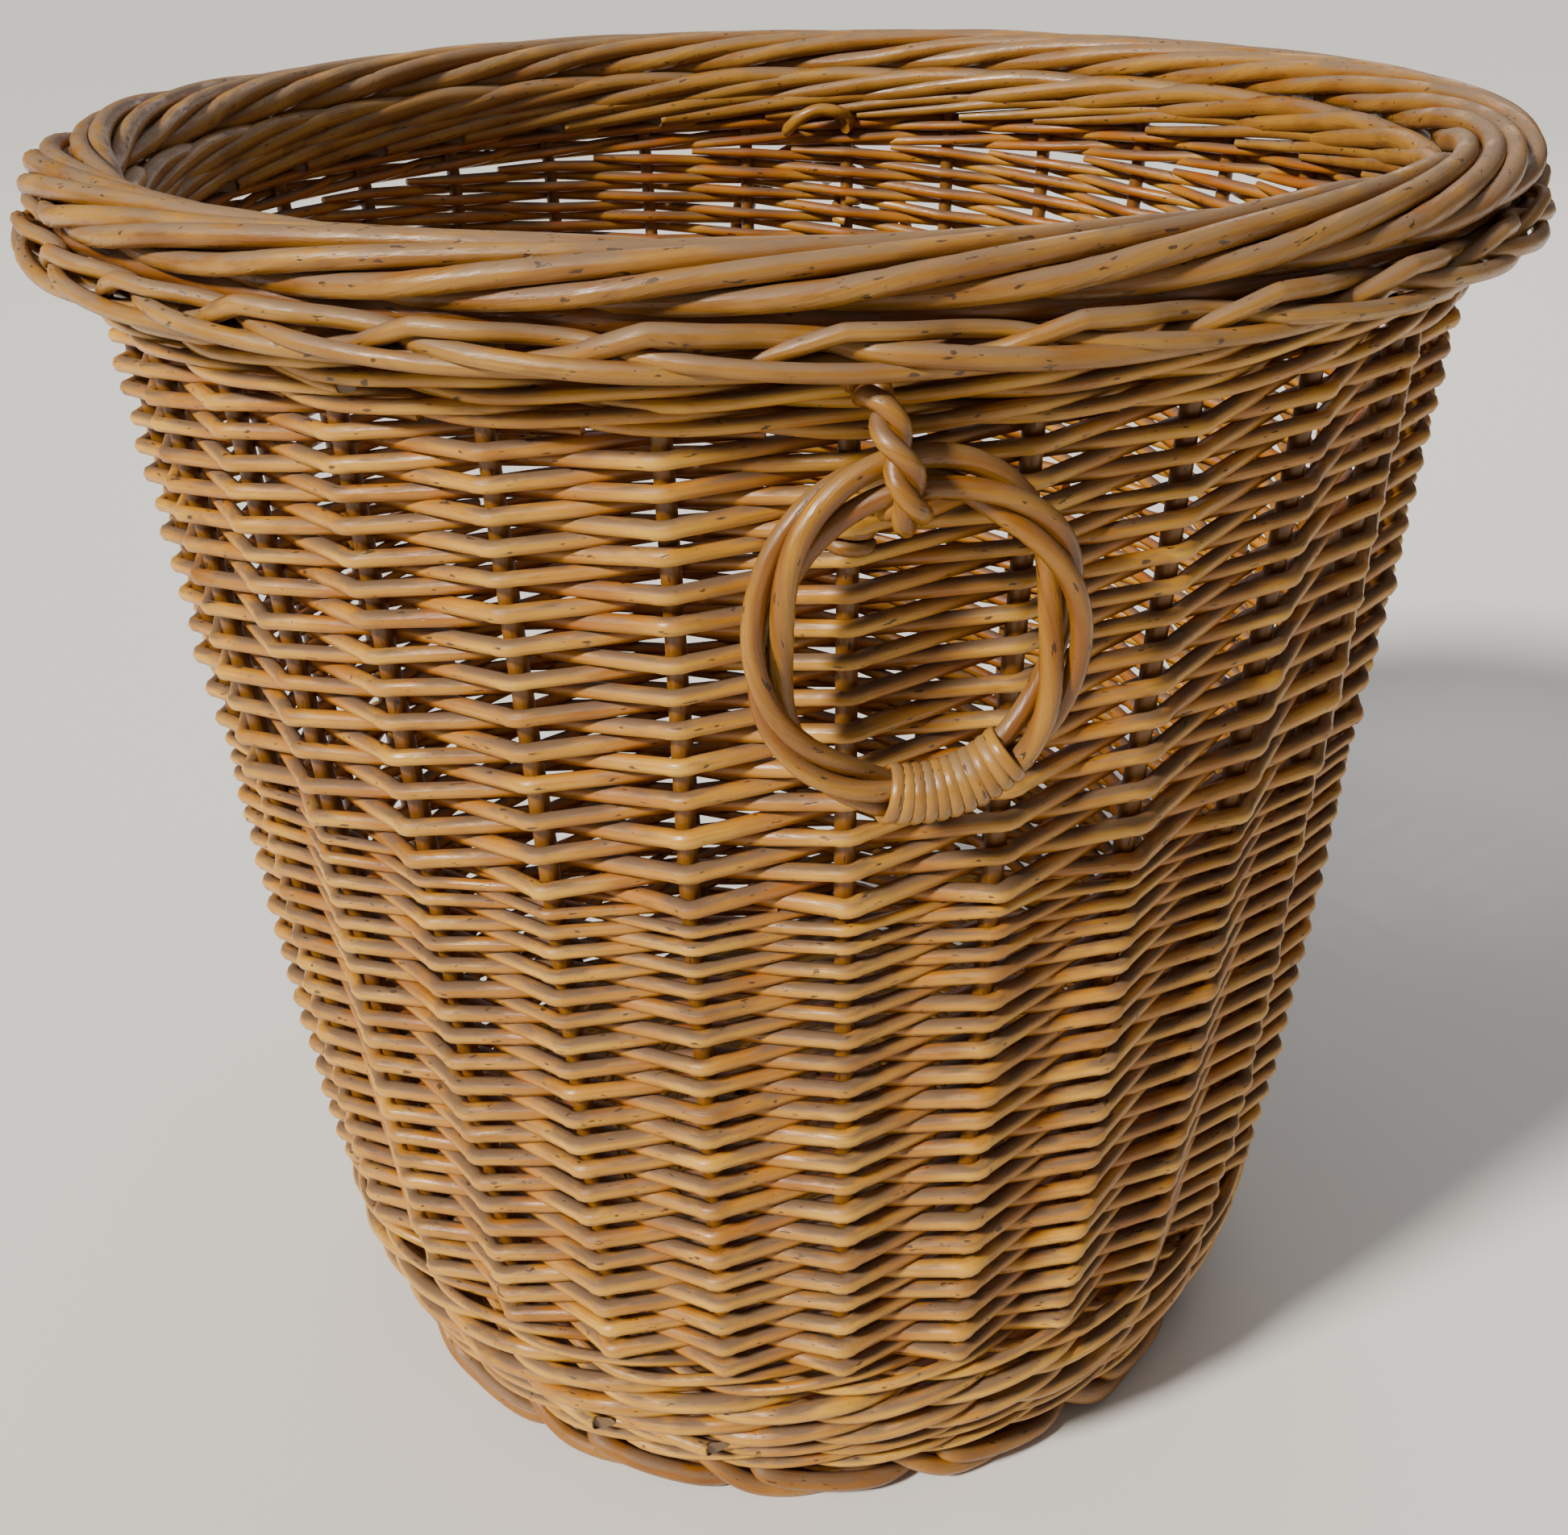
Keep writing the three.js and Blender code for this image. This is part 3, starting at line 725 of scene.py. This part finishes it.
def handle(side):
    """A ring of twisted rods with a skein lap, and the tie that holds it: a twisted pair out of the
    border, a rod wrapped round the stake below, and an arch over the stake inside. Lengths round the
    ring are shares of a turn from its top."""
    ring_low, ring_high = box_mm(f"{side}_ring")
    pivot = next(j["pos_m"] for j in frame["joints"] if j["name"] == f"{side}_ring_swing")
    direction = math.degrees(math.atan2(pivot[0], -pivot[1]))
    ring_reach = math.hypot(pivot[0], pivot[1]) / MM
    a = math.radians(direction)
    outward = np.array([math.sin(a), -math.cos(a), 0.0])
    right = np.array([math.cos(a), math.sin(a), 0.0])
    half_height = (ring_high[2] - ring_low[2]) / 2 - RING_TUBE
    half_width = half_height * RING_WIDTH_TO_HEIGHT
    centre = outward * ring_reach + UP * (ring_high[2] + ring_low[2]) / 2

    def on_ring(t):
        angle = 2 * math.pi * t[..., None]
        return centre + half_width * np.sin(angle) * right + half_height * np.cos(angle) * UP

    def off_ring(t, around_angle, distance):
        angle = 2 * math.pi * t[..., None]
        radial = unit(np.sin(angle) * right / half_width + np.cos(angle) * UP / half_height)
        b = around_angle[..., None]
        away = np.cos(b) * radial + np.sin(b) * outward
        beside = np.cos(b) * outward - np.sin(b) * radial
        return on_ring(t) + distance * away, away, beside

    strands = Bundle()
    t = np.linspace(0, 1.02, 110)
    for i in range(RING_STRANDS):
        twist = 2 * math.pi * (i / RING_STRANDS - RING_TWISTS * t)
        twist = twist + 0.5 * np.sin(2 * math.pi * t * 2 + i)
        line, away, beside = off_ring(t, twist, STRAND_OFFSET)
        thick = STRAND_RADIUS * rng.normal(1, 0.05)
        # Painted shade where the strands touch each other.
        strands.add(line[None], thick, sides=12, up=beside[None], seam=0.9)
    strands.piece(f"{side}_ring_strands", RING, f"{side}_ring", [f"{side}_ring"])

    binding = Bundle()
    s = np.linspace(0, 1, SKEIN_TURNS * 16)
    line, away, _ = off_ring(SKEIN_FROM - SKEIN_SHARE * s, 2 * math.pi * SKEIN_TURNS * s, SKEIN_OFFSET)
    binding.add(line[None], 1.5, up=away[None], flat=0.5)
    binding.piece(f"{side}_ring_skein", SKEIN, f"{side}_ring", [f"{side}_ring_binding"])

    def local(r, x, z):
        return outward * r + right * x + UP * z

    hinge = ring_high[2] - RING_TUBE
    keys = np.array([
        local(160, -10, hinge + 13), local(172, -10, hinge + 15),
        local(180, -9, hinge + 15.3), local(184.5, -7.6, hinge + 13),
        local(187.2, -6.2, hinge + 8.5), local(188.8, -4.8, hinge + 3.5),
        local(188.9, -3.4, hinge - 1.5), local(187, -2.6, hinge - 5.6),
        local(183, -3, hinge - 7.6), local(179, -4.2, hinge - 7.2),
        local(176.5, -5.4, hinge - 5),
    ])
    path = smooth(keys[None], 8)[0]
    tangent = unit(np.gradient(path, axis=0))
    across = unit(np.cross(tangent, right))
    beside = np.cross(tangent, across)
    lengths = np.concatenate([[0], np.cumsum(np.linalg.norm(np.diff(path, axis=0), axis=1))])
    tie = Bundle()
    for i in range(2):
        twist = (math.pi * i - 2 * math.pi * lengths / TIE_PITCH)[:, None]
        away = np.cos(twist) * across + np.sin(twist) * beside
        line = path + TIE_OFFSET * away
        # Painted shade where the two rods of the pair touch each other.
        tie.add(line[None], TIE_RADIUS, sides=12, up=np.cross(tangent, away)[None], seam=0.7)

    stake_turn = FIRST_STAKE + STEP * round((direction - FIRST_STAKE - 3.0) / STEP)
    z = hinge - 20 + np.linspace(0, 1, 40) * WRAP_TURNS * WRAP_PITCH
    wrap_angle = np.linspace(0, WRAP_TURNS * 2 * math.pi, 40)
    b = math.radians(stake_turn)
    stake_out = np.array([math.sin(b), -math.cos(b), 0.0])
    stake_right = np.array([math.cos(b), math.sin(b), 0.0])
    middle = stake_out * wall_radius(z)[:, None] + UP * z[:, None]
    away = np.cos(wrap_angle)[:, None] * -stake_out + np.sin(wrap_angle)[:, None] * stake_right
    wrap = middle + 4.0 * away
    tie.add(wrap[None], 1.6, sides=8, up=away[None])
    inner = float(wall_radius(hinge))
    loop = np.array([
        local(160, -10, hinge + 13), local(inner - 6, -11, hinge + 14.5),
        local(inner - 9.5, -7, hinge + 17), local(inner - 10, -1, hinge + 17.5),
        local(inner - 9.5, 5, hinge + 15), local(inner - 7, 9, hinge + 11.5),
        local(inner - 1, 10, hinge + 9.5),
    ])
    tie.add(smooth(loop[None], 6), 2.1)
    tie.piece(f"{side}_ring_tie_rods", RING, "basket", [f"{side}_ring_tie"])


# ---------------------------------------------------------------- stage, light and camera

def plain(name, colour, roughness):
    material = bpy.data.materials.new(name)
    material.use_nodes = True
    shader = material.node_tree.nodes["Principled BSDF"]
    shader.inputs["Base Color"].default_value = (*colour, 1)
    shader.inputs["Roughness"].default_value = roughness
    return material


def floor():
    bpy.ops.mesh.primitive_plane_add(size=12, location=(0, 0, cad_bounds[0].z))
    made = bpy.context.object
    made.name = "floor"
    made.data.materials.append(plain("pale_floor", (0.72, 0.71, 0.69), 0.8))


def area_light(name, place, energy, size, colour):
    light = bpy.data.lights.new(name, "AREA")
    light.energy = energy
    light.size = size
    light.color = colour
    made = bpy.data.objects.new(name, light)
    made.location = place
    aim = Vector((0, 0, 0.2)) - Vector(place)
    made.rotation_euler = aim.to_track_quat("-Z", "Y").to_euler()
    bpy.context.scene.collection.objects.link(made)


def lights():
    sun = bpy.data.lights.new("key", "SUN")
    sun.energy = 6.4
    sun.angle = math.radians(9)
    sun.color = (1.0, 0.95, 0.86)
    key = bpy.data.objects.new("key", sun)
    key.rotation_euler = Vector((1.5, 1.1, -1.4)).to_track_quat("-Z", "Y").to_euler()
    bpy.context.scene.collection.objects.link(key)
    area_light("fill", (1.6, -1.2, 0.8), 2, 1.6, (0.95, 0.95, 1.0))
    area_light("sky", (0.2, 0.2, 2.2), 13, 2.0, (0.95, 0.97, 1.0))
    area_light("back", (0.4, 1.8, 1.2), 8, 1.4, (0.95, 0.96, 1.0))
    world = bpy.data.worlds.new("pale")
    bpy.context.scene.world = world
    world.use_nodes = True
    background = world.node_tree.nodes["Background"]
    background.inputs[0].default_value = (0.88, 0.86, 0.83, 1)
    background.inputs[1].default_value = 0.18


CAMERA_LENS = 41.76
CAMERA_TURN = -1.4
CAMERA_TILT_DOWN = 27.449
CAMERA_ROLL = -1.178
CAMERA_BACK = 494.95
CAMERA_LEFT = 2.43
CAMERA_UP = 422.7


def camera():
    data = bpy.data.cameras.new("camera")
    data.sensor_width = 36
    data.lens = CAMERA_LENS
    made = bpy.data.objects.new("camera", data)
    turn = math.radians(CAMERA_TURN)
    forward = np.array([-math.sin(turn), math.cos(turn), 0])
    right = np.array([math.cos(turn), math.sin(turn), 0])
    place = -forward * CAMERA_BACK - right * CAMERA_LEFT + UP * CAMERA_UP
    made.location = Vector(place * MM)
    made.rotation_mode = "QUATERNION"
    level = Euler((math.radians(90 - CAMERA_TILT_DOWN), 0, turn)).to_quaternion()
    roll = Euler((0, 0, math.radians(CAMERA_ROLL))).to_quaternion()
    made.rotation_quaternion = level @ roll
    bpy.context.scene.collection.objects.link(made)
    bpy.context.scene.camera = made


stakes()
lower_band()
upper_band()
upsett()
top_wale()
foot_trac()
base()
border_roll()
border_trac()
border_tails()
handle("front")
handle("back")
floor()
lights()
camera()
